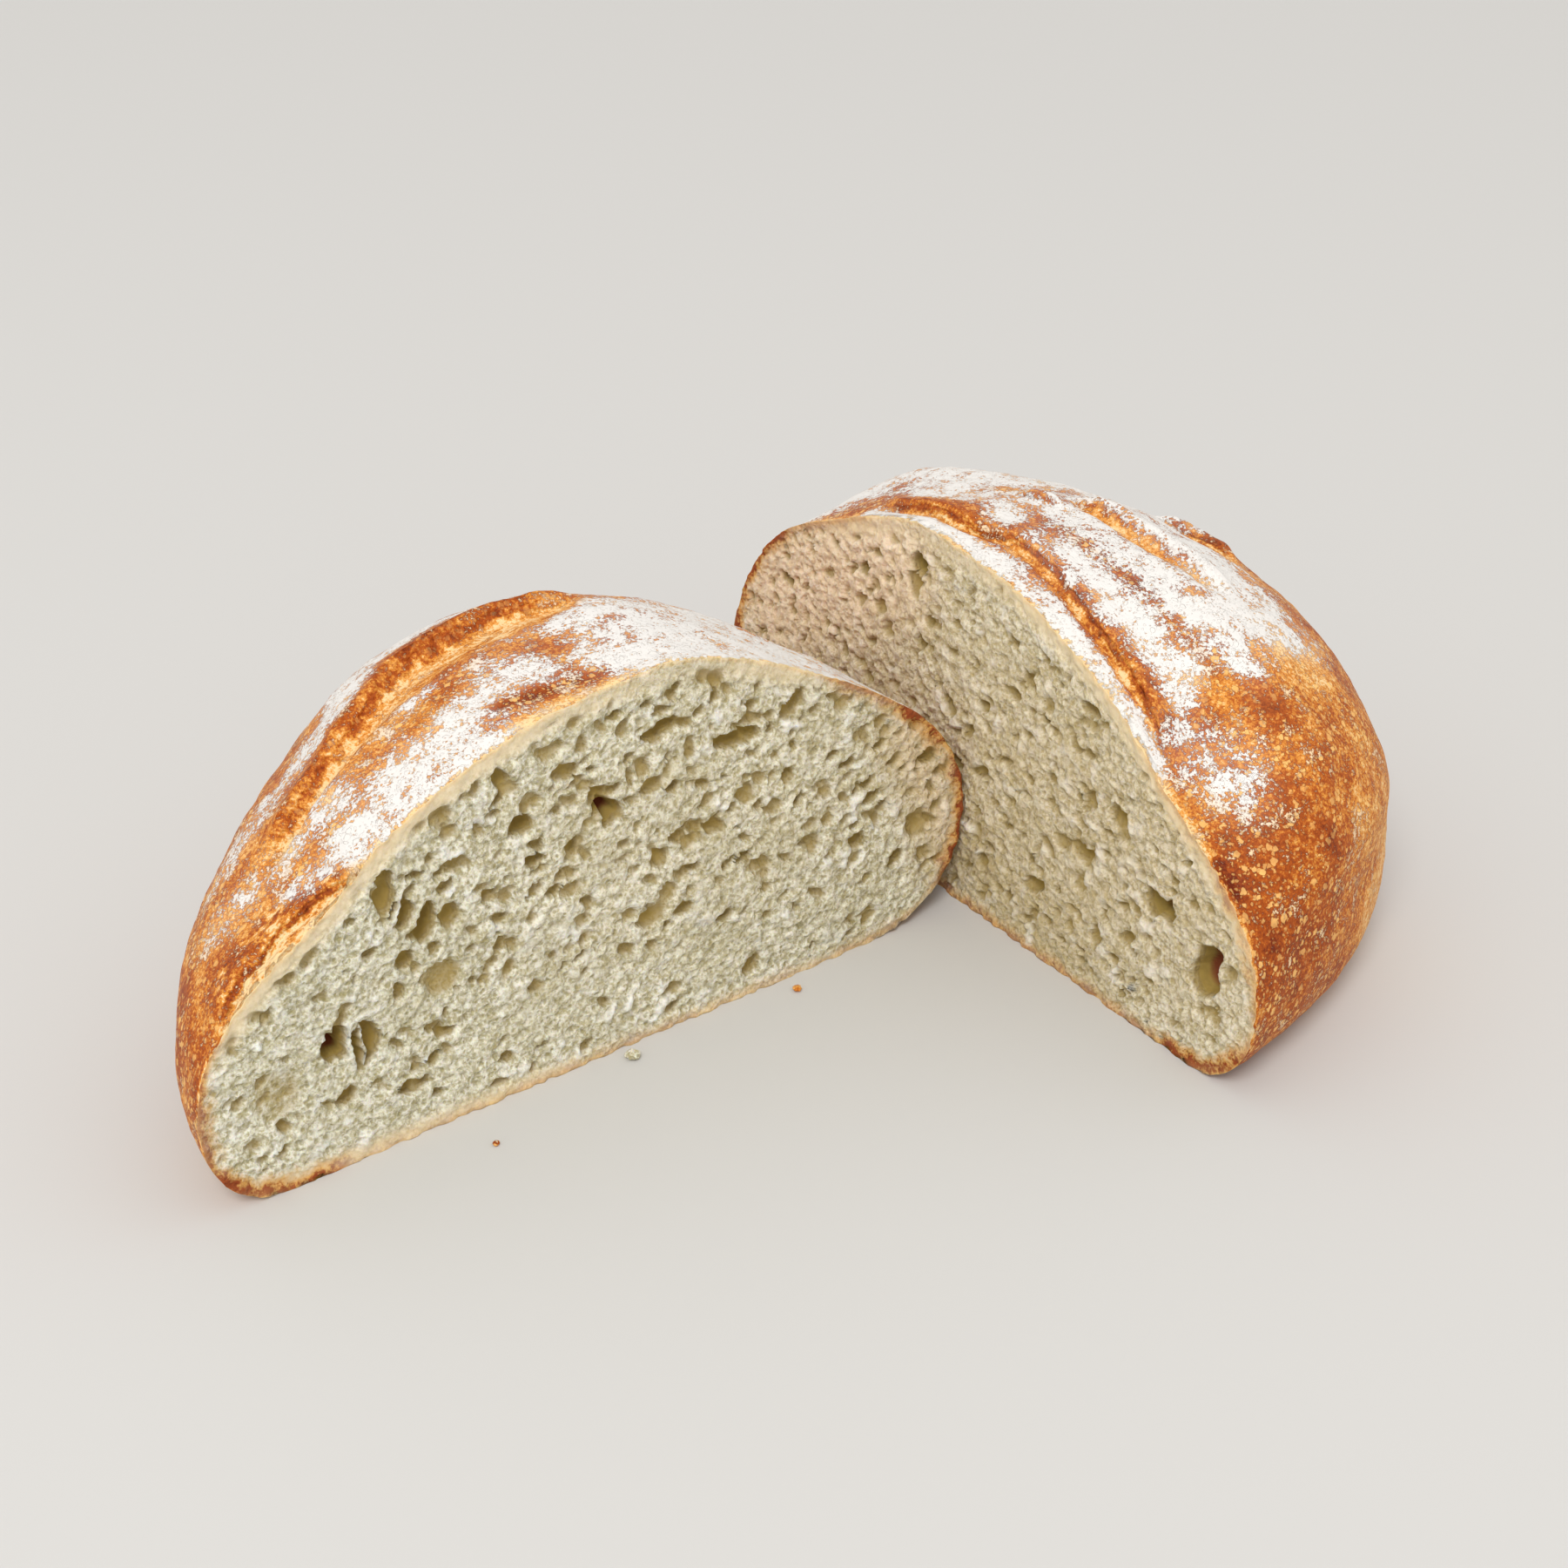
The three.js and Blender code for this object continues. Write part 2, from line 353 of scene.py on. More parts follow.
def poreMap(half):
    # depth of the crumb's holes over the cut face, on a fine lattice, and where its pale tufts stand
    shape = crumbSurface
    cell, left, bottom = shape["cell"], shape["left"], shape["bottom"]
    across = np.arange(left, shape["right"], cell)
    up = np.arange(bottom, shape["top"], cell)
    gridU, gridZ = np.meshgrid(across, up)
    flat = np.stack([gridU, gridZ, np.full(gridU.shape, half["poreSeed"] * 7.3)], axis=-1)
    bends = [shape["bend"] * softNoise(flat, shape["bendSize"], seed) for seed in (5, 7)]
    wobbles = [shape["wobble"] * softNoise(flat, shape["wobbleSize"], seed) for seed in (6, 8)]
    warpU = gridU + bends[0] + wobbles[0]
    warpZ = gridZ + bends[1] + wobbles[1]
    coarse = 8
    inside = insideDistance(gridU[::coarse, ::coarse], gridZ[::coarse, ::coarse])
    angle = np.arctan2(gridZ - middleUp, gridU - middleAcross)
    radius = np.interp(angle, edgeAngle, edgeRadius, period=2 * math.pi)
    within = np.hypot(gridU - middleAcross, gridZ - middleUp) < radius
    inside = np.where(within[::coarse, ::coarse], inside, 0)
    field = np.zeros(gridU.shape)
    rng = np.random.default_rng(half["poreSeed"])

    def carve(u, z, ru, rz, depth, turn, sharpness):
        reach = max(ru, rz) + 1.6
        i0, i1 = int((z - reach - bottom) / cell), int((z + reach - bottom) / cell) + 1
        j0, j1 = int((u - reach - left) / cell), int((u + reach - left) / cell) + 1
        window = (slice(max(i0, 0), max(i1, 0)), slice(max(j0, 0), max(j1, 0)))
        du = warpU[window] - u
        dz = warpZ[window] - z
        c, s = math.cos(turn), math.sin(turn)
        rho = ((du * c + dz * s) / ru) ** 2 + ((dz * c - du * s) / rz) ** 2
        bowl = depth * np.clip(1 - rho, 0, 1) ** sharpness
        field[window] = np.maximum(field[window], bowl)

    for size, spacing, deep, share, margin, calmed in half["pores"]:
        for u in np.arange(*shape["poresAcross"], spacing):
            for z in np.arange(*shape["poresUp"], spacing):
                uu = u + rng.normal() * spacing * shape["scatter"]
                zz = z + rng.normal() * spacing * shape["scatter"]
                r = rng.uniform(*size)
                stretch = rng.uniform(*shape["stretch"])
                turn = rng.normal() * shape["lean"]
                chance = rng.uniform()
                i, j = int((zz - bottom) / cell / coarse), int((uu - left) / cell / coarse)
                if not (0 <= i < inside.shape[0] and 0 <= j < inside.shape[1]):
                    continue
                quiet = calmed * strokeAmount(np.array(uu), np.array(zz), half["calmCrumb"])
                if chance > share * (1 - quiet) or inside[i, j] < r * 0.8 + margin:
                    continue
                depth = r * deep * rng.uniform(*shape["depthSpread"])
                carve(uu, zz, r * stretch, r / stretch ** 0.4, depth, turn, shape["sharpPores"])
    for u, z, ru, rz, depth, turn in half["holes"]:
        carve(u, z, ru, rz, depth, math.radians(turn), shape["sharpHoles"])
    torn = np.zeros(gridU.shape)
    for (u1, z1), (u2, z2), width, level in half["webs"]:
        du, dz = u2 - u1, z2 - z1
        along = np.clip(((warpU - u1) * du + (warpZ - z1) * dz) / (du * du + dz * dz), 0, 1)
        gap = np.hypot(warpU - u1 - along * du, warpZ - z1 - along * dz)
        field = np.where(gap < width, np.minimum(field, level), field)
        torn = np.maximum(torn, 0.6 * smoothStep(gap, width * 1.3, width * 0.3))
    crumble = shape["crumble"] * layeredNoise(flat, 1.6, 20, 2)
    flecks = smoothStep(layeredNoise(flat, 2.6, 24, 2), 0.3, 0.7)
    clumps = smoothStep(layeredNoise(flat, 9, 27, 1), -0.1, 0.5)
    flecks = flecks * (0.45 + 0.55 * clumps) * smoothStep(field, 2.5, 0.4)
    flecks = np.maximum(flecks, torn)
    field = field + (crumble - shape["tufts"] * flecks) * (0.3 + 0.7 * smoothStep(field, 3.0, 1.2))
    return across, up, field, flecks


def sampleMap(across, up, field, u, z):
    x = np.clip((u - across[0]) / (across[1] - across[0]), 0, len(across) - 1.001)
    y = np.clip((z - up[0]) / (up[1] - up[0]), 0, len(up) - 1.001)
    i, j = y.astype(int), x.astype(int)
    fy, fx = y - i, x - j
    low = field[i, j] * (1 - fx) + field[i, j + 1] * fx
    high = field[i + 1, j] * (1 - fx) + field[i + 1, j + 1] * fx
    return low * (1 - fy) + high * fy


def getPoints(mesh):
    flat = np.empty(len(mesh.vertices) * 3)
    mesh.vertices.foreach_get("co", flat)
    return flat.reshape(-1, 3)


def setPoints(mesh, points):
    mesh.vertices.foreach_set("co", np.asarray(points, float).ravel())
    mesh.update()


def setMask(mesh, name, values, kind="FLOAT", field="value"):
    layer = mesh.attributes.get(name) or mesh.attributes.new(name, kind, "POINT")
    layer.data.foreach_set(field, np.asarray(values, float).ravel())


def deselectAll():
    if bpy.context.object and bpy.context.object.mode != "OBJECT":
        bpy.ops.object.mode_set(mode="OBJECT")
    bpy.ops.object.select_all(action="DESELECT")


def turned(half, points):
    # from the half's own across, depth and up in mm to metres, turned as it stands but not yet moved
    turn = math.radians(half["turn"])
    across = points[:, 0] * (-1 if half["mirrored"] else 1)
    x = across * math.cos(turn) - points[:, 1] * math.sin(turn)
    y = across * math.sin(turn) + points[:, 1] * math.cos(turn)
    return np.stack([x, y, points[:, 2]], axis=1) * mm


def settled(half, points):
    # the far end drawn in and its shoulder lifted a little, in the half's own mm
    points = points.copy()
    shoulderAt, shoulderWidth = 76, 20
    far = smoothStep(points[:, 0], 45, 96)
    shoulder = np.exp(-((points[:, 0] - shoulderAt) / shoulderWidth) ** 2)
    shoulder = shoulder * smoothStep(points[:, 2], 20, 58)
    points[:, 0] -= half["farPull"] * far
    points[:, 2] += half["farLift"] * shoulder
    return points


def makeHalf(half, crustFinish, crumbFinish):
    # crust: a flat grid rolled round the loaf and closed at the nose
    around = 2 * (loaf["faceAcross"] + loaf["faceUp"])
    rings = loaf["depthSteps"]
    plain, sheet, masks = crustSheet(half)
    deselectAll()
    bpy.ops.mesh.primitive_grid_add(x_subdivisions=around, y_subdivisions=rings, size=2)
    crust = bpy.context.object
    grid = getPoints(crust.data)
    column = np.rint((grid[:, 0] + 1) / 2 * around).astype(int) % around
    ring = np.rint((grid[:, 1] + 1) / 2 * rings).astype(int)
    setPoints(crust.data, sheet[ring, column] * mm)
    for name, values in masks.items():
        setMask(crust.data, name, values[ring, column])
    setMask(crust.data, "grain", plain[ring, column], "FLOAT_VECTOR", "vector")
    crust.data.materials.append(crustFinish)

    # cut face: a second grid stretched to the outline, its border on the crust's first ring
    deselectAll()
    bpy.ops.mesh.primitive_grid_add(
        x_subdivisions=loaf["faceAcross"], y_subdivisions=loaf["faceUp"], size=2)
    face = bpy.context.object
    grid = getPoints(face.data)
    angle, out = discPoint(grid[:, 0], grid[:, 1])
    across, up = facePoint(angle, out)
    rim = rimAngles()
    order = np.argsort(rim)
    rimU, rimZ = facePoint(rim, np.ones(rim.shape))
    pull = out ** 14            # only the points near the border follow the crust's uneven rim
    shiftU = np.interp(angle, rim[order], (sheet[0, :, 0] - rimU)[order], period=2 * math.pi)
    shiftZ = np.interp(angle, rim[order], (sheet[0, :, 2] - rimZ)[order], period=2 * math.pi)
    across = across + pull * shiftU
    up = up + pull * shiftZ
    setPoints(face.data, np.stack([across, 0 * across, up], axis=1) * mm)
    face.data.materials.append(crumbFinish)
    for name in masks:
        setMask(face.data, name, 0 * across)

    # one closed body: join, weld, and cut the face's squares finer
    deselectAll()
    face.select_set(True)
    crust.select_set(True)
    bpy.context.view_layer.objects.active = crust
    bpy.ops.object.join()
    piece = bpy.context.object
    bpy.ops.object.mode_set(mode="EDIT")
    bpy.ops.mesh.select_all(action="SELECT")
    bpy.ops.mesh.remove_doubles(threshold=0.002 * mm)
    bpy.ops.mesh.normals_make_consistent(inside=False)
    bpy.ops.mesh.select_all(action="DESELECT")
    bpy.ops.mesh.select_mode(type="FACE")
    bpy.ops.object.mode_set(mode="OBJECT")
    mesh = piece.data
    crumbIndex = [m.name for m in mesh.materials].index(crumbFinish.name)
    material = np.empty(len(mesh.polygons), int)
    mesh.polygons.foreach_get("material_index", material)
    mesh.polygons.foreach_set("select", material == crumbIndex)
    bpy.ops.object.mode_set(mode="EDIT")
    bpy.ops.mesh.subdivide(number_cuts=1)
    bpy.ops.object.mode_set(mode="OBJECT")

    # open the crumb: push every point of the cut face in to its hole's depth
    mesh = piece.data
    points = getPoints(mesh) / mm
    onFace = points[:, 1] < 1e-4
    u, z = points[onFace, 0], points[onFace, 2]
    acrossMap, upMap, field, flecks = poreMap(half)
    fromRim = insideDistance(u, z)
    hole = sampleMap(acrossMap, upMap, field, u, z)
    fleck = sampleMap(acrossMap, upMap, flecks, u, z)
    dense = np.clip(strokeAmount(u, z, half["denseCrumb"]), 0, 1)
    fadeStart, fadeEnd = crumbSurface["rimFade"]
    hole = hole * smoothStep(fromRim, fadeStart, fadeEnd + crumbSurface["denseFade"] * dense)
    facePoints = np.stack([u, z, 0 * u], axis=1)
    torn = crumbSurface["tornRim"] * softNoise(facePoints, crumbSurface["tornRimSize"], half["seed"] + 60)
    points[onFace, 1] = hole + torn * smoothStep(fromRim, 3.0, 0.3)
    crumbMasks = {
        "denseCrumb": dense * (1 - smoothStep(fromRim, 2.0, 6.5)),
        "pit": np.clip(hole / crumbSurface["fullPit"], 0, 1),
        "fromRim": fromRim,
        "fleck": fleck,
        "toasted": np.clip(strokeAmount(u, z, half["toasted"]), 0, 1),
        "warm": np.clip(strokeAmount(u, z, half["warmCrumbAndBounce"]), 0, 1),
        "shaded": np.clip(strokeAmount(u, z, half["shadedCrumb"]), 0, 1),
    }
    for name, values in crumbMasks.items():
        whole = np.zeros(len(points))
        whole[onFace] = values
        setMask(mesh, name, whole)

    # stand it where its plain solid stands
    middle = turned(half, plain.reshape(-1, 3))
    middle = (middle.min(axis=0) + middle.max(axis=0)) / 2
    low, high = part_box(half["name"])
    target = (Vector(low) + Vector(high)) / 2
    placed = turned(half, settled(half, points))
    placed[:, 0] += target.x - middle[0]
    placed[:, 1] += target.y - middle[1]
    setPoints(mesh, placed)
    piece.name = half["name"] + "_baked"
    deselectAll()
    piece.select_set(True)
    bpy.context.view_layer.objects.active = piece
    bpy.ops.object.mode_set(mode="EDIT")
    bpy.ops.mesh.select_all(action="SELECT")
    bpy.ops.mesh.normals_make_consistent(inside=False)
    bpy.ops.object.mode_set(mode="OBJECT")
    bpy.ops.object.shade_smooth()
    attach(piece, "root")
    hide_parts(half["name"])
    triangles = sum(len(p.vertices) - 2 for p in piece.data.polygons)
    print(piece.name, "finished,", triangles, "triangles")
    return piece


def newFinish(name):
    finish = bpy.data.materials.new(name)
    finish.use_nodes = True
    tree = finish.node_tree
    shader = tree.nodes["Principled BSDF"]
    return finish, tree, shader


def addNode(tree, kind, values=None, **settings):
    node = tree.nodes.new(kind)
    for key, value in settings.items():
        setattr(node, key, value)
    for key, value in (values or {}).items():
        node.inputs[key].default_value = value
    return node


def mathOf(tree, operation, a, b=None, clamp=False):
    node = addNode(tree, "ShaderNodeMath", operation=operation, use_clamp=clamp)
    for socket, value in zip(node.inputs, (a, b)):
        if value is None:
            continue
        if isinstance(value, (int, float)):
            socket.default_value = value
        else:
            tree.links.new(value, socket)
    return node.outputs[0]


def addUp(tree, a, b):
    return mathOf(tree, "ADD", a, b)


def timesOf(tree, a, b):
    return mathOf(tree, "MULTIPLY", a, b)


def swingOf(tree, texture, amount):
    # a texture from 0 to 1 made to swing about nothing, by that amount
    return timesOf(tree, mathOf(tree, "SUBTRACT", texture, 0.5), amount)


def mixColour(tree, factor, a, b):
    node = addNode(tree, "ShaderNodeMix", data_type="RGBA")
    for socket, value in ((node.inputs[0], factor), (node.inputs[6], a), (node.inputs[7], b)):
        if isinstance(value, (int, float)):
            socket.default_value = value
        elif isinstance(value, tuple):
            socket.default_value = (*value, 1)
        else:
            tree.links.new(value, socket)
    return node.outputs[2]


def rampOf(tree, factor, stops):
    node = addNode(tree, "ShaderNodeValToRGB")
    ramp = node.color_ramp
    while len(ramp.elements) < len(stops):
        ramp.elements.new(0.5)
    for element, (place, colour) in zip(ramp.elements, stops):
        element.position = place
        element.color = (*colour, 1) if isinstance(colour, tuple) else (colour, colour, colour, 1)
    tree.links.new(factor, node.inputs[0])
    return node.outputs[0]


def maskOf(tree, name):
    return addNode(tree, "ShaderNodeAttribute", attribute_name=name).outputs["Fac"]


def noiseOf(tree, place, scale, detail=2.0, roughness=0.5):
    node = addNode(tree, "ShaderNodeTexNoise", {"Scale": scale, "Detail": detail, "Roughness": roughness})
    tree.links.new(place, node.inputs["Vector"])
    return node.outputs["Fac"]


def spotsOf(tree, place, scale):
    node = addNode(tree, "ShaderNodeTexVoronoi", {"Scale": scale, "Randomness": 1.0})
    tree.links.new(place, node.inputs["Vector"])
    return node.outputs["Distance"], node.outputs["Color"]


def bumpOf(tree, height, strength, distance):
    node = addNode(tree, "ShaderNodeBump", {"Strength": strength, "Distance": distance})
    tree.links.new(height, node.inputs["Height"])
    return node.outputs["Normal"]


crustLook = {
    "palest": (0.92, 0.66, 0.34),
    "golden": (0.78, 0.32, 0.05),
    "brown": (0.43, 0.088, 0.008),
    "dark": (0.15, 0.018, 0.003),
    "goldenAt": 0.22,            # how far baked each colour stands
    "brownAt": 0.52,
    "coarseMottle": 1.1,
    "fineMottle": 1.6,
    "fibres": 1.5,               # drawn-out dough on the floors of the slashes
    "earLine": 0.3,              # the dark line under each ear
    "blister": (0.97, 0.56, 0.18),
    "blistering": 0.85,
    "flour": (0.84, 0.815, 0.775),
    "thinFlour": (0.93, 0.66, 0.40),
    "flourWeight": 0.7,
    "flourGrain": (2.4, 1.6, 1.2, 0.5),     # how much fine, coarse, broad and drawn-out noise breaks it
    "flourEdge": (0.3, 0.5),
    "flourVeil": 0.12,
    "flourOpacity": 0.97,
    "roughness": 0.5,
    "floury": 0.4,               # how much rougher it is under flour
    "specular": 0.14,
    "bumpStrength": 0.8,
    "bumpDepth": 0.0007,         # metres
}


def crustFinishOf(look):
    finish, tree, shader = newFinish("baked_crust")
    place = addNode(tree, "ShaderNodeTexCoord").outputs["Object"]
    bake = maskOf(tree, "bake")
    flour = maskOf(tree, "flour")
    gap = maskOf(tree, "slashGap")
    near = maskOf(tree, "slashNear")
    grain = addNode(tree, "ShaderNodeAttribute", attribute_name="grain").outputs["Vector"]
    drawn = addNode(tree, "ShaderNodeMapping", {"Scale": (0.22, 1, 1)})
    tree.links.new(grain, drawn.inputs["Vector"])
    streaks = noiseOf(tree, drawn.outputs["Vector"], 0.55, 3, 0.6)
    coarse = noiseOf(tree, place, 260, 4, 0.6)
    fine = noiseOf(tree, place, 1300, 4, 0.7)
    broad = noiseOf(tree, place, 110, 3, 0.6)
    wobble = addNode(tree, "ShaderNodeTexNoise", {"Scale": 900, "Detail": 1.0})
    tree.links.new(place, wobble.inputs["Vector"])
    shift = addNode(tree, "ShaderNodeVectorMath", {1: (0.0012, 0.0012, 0.0012)}, operation="MULTIPLY")
    tree.links.new(wobble.outputs["Color"], shift.inputs[0])
    bent = addNode(tree, "ShaderNodeVectorMath", operation="ADD")
    tree.links.new(place, bent.inputs[0])
    tree.links.new(shift.outputs[0], bent.inputs[1])
    spots, spotColour = spotsOf(tree, bent.outputs[0], 520)
    smallSpots, smallColour = spotsOf(tree, bent.outputs[0], 1000)

    # the bake, with a ragged dark line under each ear and drawn-out fibres on the slash's floor
    fibres = timesOf(tree, swingOf(tree, streaks, look["fibres"]), near)
    browned = addUp(tree, bake, swingOf(tree, coarse, look["coarseMottle"]))
    browned = addUp(tree, browned, swingOf(tree, fine, look["fineMottle"]))
    browned = addUp(tree, browned, fibres)
    ragged = addUp(tree, gap, swingOf(tree, coarse, 1.5))
    ragged = addUp(tree, ragged, swingOf(tree, broad, 3.0))
    ragged = mathOf(tree, "ABSOLUTE", addUp(tree, ragged, 0.9))
    line = rampOf(tree, timesOf(tree, ragged, 0.25), [(0.03, 1.0), (0.15, 0.0)])
    line = timesOf(tree, line, near)
    browned = addUp(tree, browned, timesOf(tree, line, look["earLine"]))
    colour = rampOf(tree, browned, [
        (0.0, look["palest"]), (look["goldenAt"], look["golden"]), (look["brownAt"], look["brown"]),
        (1.0, look["dark"]),
    ])

    # small pale blisters of uneven size, and finer grains between them
    reach = addUp(tree, timesOf(tree, spotColour, 0.55), 0.01)
    dots = rampOf(tree, mathOf(tree, "SUBTRACT", reach, spots), [(0.0, 0.0), (0.08, 1.0)])
    reach = addUp(tree, timesOf(tree, smallColour, 0.55), 0.03)
    grains = rampOf(tree, mathOf(tree, "SUBTRACT", reach, smallSpots), [(0.0, 0.0), (0.09, 0.7)])
    dots = mathOf(tree, "MAXIMUM", dots, grains)
    dots = timesOf(tree, dots, rampOf(tree, broad, [(0.34, 0.35), (0.56, 1.0)]))
    bare = mathOf(tree, "SUBTRACT", 1.0, timesOf(tree, near, 0.8), True)
    dots = timesOf(tree, dots, bare)
    colour = mixColour(tree, timesOf(tree, dots, look["blistering"]), colour, look["blister"])

    # flour lies thick where its mask is strong and breaks into grains and streaks at its edges
    fineGrain, coarseGrain, broadGrain, streakGrain = look["flourGrain"]
    dust = swingOf(tree, fine, fineGrain)
    dust = addUp(tree, dust, swingOf(tree, coarse, coarseGrain))
    dust = addUp(tree, dust, swingOf(tree, broad, broadGrain))
    dust = addUp(tree, dust, swingOf(tree, streaks, streakGrain))
    cover = addUp(tree, timesOf(tree, flour, look["flourWeight"]), dust)
    bareBelow, fullAbove = look["flourEdge"]
    cover = rampOf(tree, cover, [(bareBelow, 0.0), (fullAbove, 1.0)])
    cover = mathOf(tree, "MAXIMUM", cover, timesOf(tree, flour, look["flourVeil"]))
    thickness = rampOf(tree, flour, [(0.12, 0.0), (0.5, 1.0)])
    flourTone = mixColour(tree, thickness, look["thinFlour"], look["flour"])
    colour = mixColour(tree, timesOf(tree, cover, look["flourOpacity"]), colour, flourTone)
    tree.links.new(colour, shader.inputs["Base Color"])

    rough = mathOf(tree, "ADD", timesOf(tree, cover, look["floury"]), look["roughness"], True)
    tree.links.new(rough, shader.inputs["Roughness"])
    shader.inputs["Specular IOR Level"].default_value = look["specular"]
    height = addUp(tree, timesOf(tree, dots, 0.5), timesOf(tree, coarse, 0.8))
    height = addUp(tree, height, timesOf(tree, fine, 0.35))
    height = addUp(tree, height, timesOf(tree, cover, 0.3))
    height = addUp(tree, height, timesOf(tree, fibres, 1.2))
    height = mathOf(tree, "SUBTRACT", height, line)
    bumps = bumpOf(tree, height, look["bumpStrength"], look["bumpDepth"])
    tree.links.new(bumps, shader.inputs["Normal"])
    return finish


crumbLook = {
    "fleck": (0.97, 0.96, 0.90),
    "light": (0.94, 0.91, 0.77),
    "plain": (0.48, 0.43, 0.26),
    # painted shade inside the tiny pores
    "poreShade": (0.32, 0.27, 0.10),
    # painted shade inside the holes, darker the deeper they are
    "deep": (0.36, 0.25, 0.065),
    "darkestPitShade": (0.20, 0.035, 0.015),
    "shaded": (0.40, 0.31, 0.14),
    "warm": (0.62, 0.44, 0.22),
    # painted bounce light: the lightest warm crumb, as if lit by light bouncing between the halves
    "paintedBounceLight": (0.92, 0.68, 0.46),
    "tan": (0.74, 0.60, 0.38),
    "rind": (0.78, 0.52, 0.22),
    "toastGolden": (0.66, 0.36, 0.10),
    "toastDark": (0.30, 0.06, 0.012),
    "roughness": 0.85,
    "specular": 0.25,
    "glow": 0.4,                 # how much light passes into the crumb, how far (metres), by colour
    "glowReach": 0.0016,
    "glowColour": (1.0, 0.75, 0.35),
    "bumpStrength": 0.9,
    "bumpDepth": 0.00045,
}


def crumbFinishOf(look):
    finish, tree, shader = newFinish("open_crumb")
    place = addNode(tree, "ShaderNodeTexCoord").outputs["Object"]
    pit = maskOf(tree, "pit")
    fleck = maskOf(tree, "fleck")
    fromRim = maskOf(tree, "fromRim")
    toasted = maskOf(tree, "toasted")
    warm = maskOf(tree, "warm")
    dense = maskOf(tree, "denseCrumb")
    fine = noiseOf(tree, place, 1300, 3, 0.65)
    clumps = noiseOf(tree, place, 460, 5, 0.72)
    broad = noiseOf(tree, place, 60, 3, 0.6)
    patch = noiseOf(tree, place, 210, 3, 0.6)
    cells, _ = spotsOf(tree, place, 820)
    wide, _ = spotsOf(tree, place, 430)

    # pale walls between the pores, and tiny pores that are only colour and bump, their dark colour painted
    # shade
    speck = addUp(tree, timesOf(tree, fine, 0.5), timesOf(tree, clumps, 0.5))
    base = mixColour(tree, rampOf(tree, speck, [(0.42, 0.0), (0.56, 1.0)]), look["plain"], look["light"])
    cloud = timesOf(tree, rampOf(tree, broad, [(0.4, 0.0), (0.7, 1.0)]), 0.35)
    base = mixColour(tree, cloud, base, look["plain"])
    openCrumb = mathOf(tree, "SUBTRACT", 1.0, timesOf(tree, dense, 0.9), True)
    base = mixColour(tree, timesOf(tree, maskOf(tree, "shaded"), 0.6), base, look["shaded"])
    pores = timesOf(tree, rampOf(tree, cells, [(0.1, 1.0), (0.45, 0.0)]), openCrumb)
    widePores = timesOf(tree, rampOf(tree, wide, [(0.14, 1.0), (0.4, 0.0)]), openCrumb)
    base = mixColour(tree, timesOf(tree, pores, 0.6), base, look["poreShade"])
    base = mixColour(tree, timesOf(tree, widePores, 0.55), base, look["poreShade"])
    base = mixColour(tree, timesOf(tree, fleck, 0.9), base, look["fleck"])
    # a warmer crumb tone, and where its mask is full a lighter one that is painted bounce light between the
    # halves
    warmToneAndBounce = rampOf(tree, warm, [(0.6, look["warm"]), (1.0, look["paintedBounceLight"])])
    base = mixColour(tree, timesOf(tree, warm, 0.7), base, warmToneAndBounce)

    # painted shade: the deeper a hole, the darker its inside
    base = mixColour(tree, rampOf(tree, pit, [(0.09, 0.0), (0.24, 0.7), (0.5, 1.0)]), base, look["deep"])
    base = mixColour(tree, rampOf(tree, pit, [(0.8, 0.0), (1.0, 0.9)]), base, look["darkestPitShade"])

    # a tan band where the crumb is dense, a thin golden rind, and a toasted edge in patches
    base = mixColour(tree, timesOf(tree, dense, 0.8), base, look["tan"])
    rindEdge = addUp(tree, timesOf(tree, fromRim, 0.1), timesOf(tree, fine, 0.05))
    rind = rampOf(tree, rindEdge, [(0.07, 1.0), (0.15, 0.0)])
    rindShare = mathOf(tree, "ADD", timesOf(tree, toasted, 0.6), 0.35, True)
    base = mixColour(tree, timesOf(tree, rind, rindShare), base, look["rind"])
    uneven = addUp(tree, rindEdge, swingOf(tree, patch, 0.9))
    toast = timesOf(tree, toasted, rampOf(tree, uneven, [(0.16, 1.0), (0.42, 0.0)]))
    darker = rampOf(tree, addUp(tree, uneven, swingOf(tree, fine, 0.5)), [(0.06, 1.0), (0.2, 0.0)])
    toastTone = mixColour(tree, darker, look["toastGolden"], look["toastDark"])
    base = mixColour(tree, toast, base, toastTone)
    tree.links.new(base, shader.inputs["Base Color"])
    shader.inputs["Roughness"].default_value = look["roughness"]
    shader.inputs["Specular IOR Level"].default_value = look["specular"]
    shader.inputs["Subsurface Weight"].default_value = look["glow"]
    shader.inputs["Subsurface Radius"].default_value = look["glowColour"]
    shader.inputs["Subsurface Scale"].default_value = look["glowReach"]

    grit = timesOf(tree, fine, openCrumb)
    height = addUp(tree, timesOf(tree, pores, -0.7), grit)
    height = addUp(tree, height, timesOf(tree, widePores, -0.7))
    height = addUp(tree, height, timesOf(tree, timesOf(tree, clumps, openCrumb), 1.8))
    calm = rampOf(tree, pit, [(0.25, 1.0), (0.45, 0.15)])
    bumps = bumpOf(tree, timesOf(tree, height, calm), look["bumpStrength"], look["bumpDepth"])
    tree.links.new(bumps, shader.inputs["Normal"])
    return finish


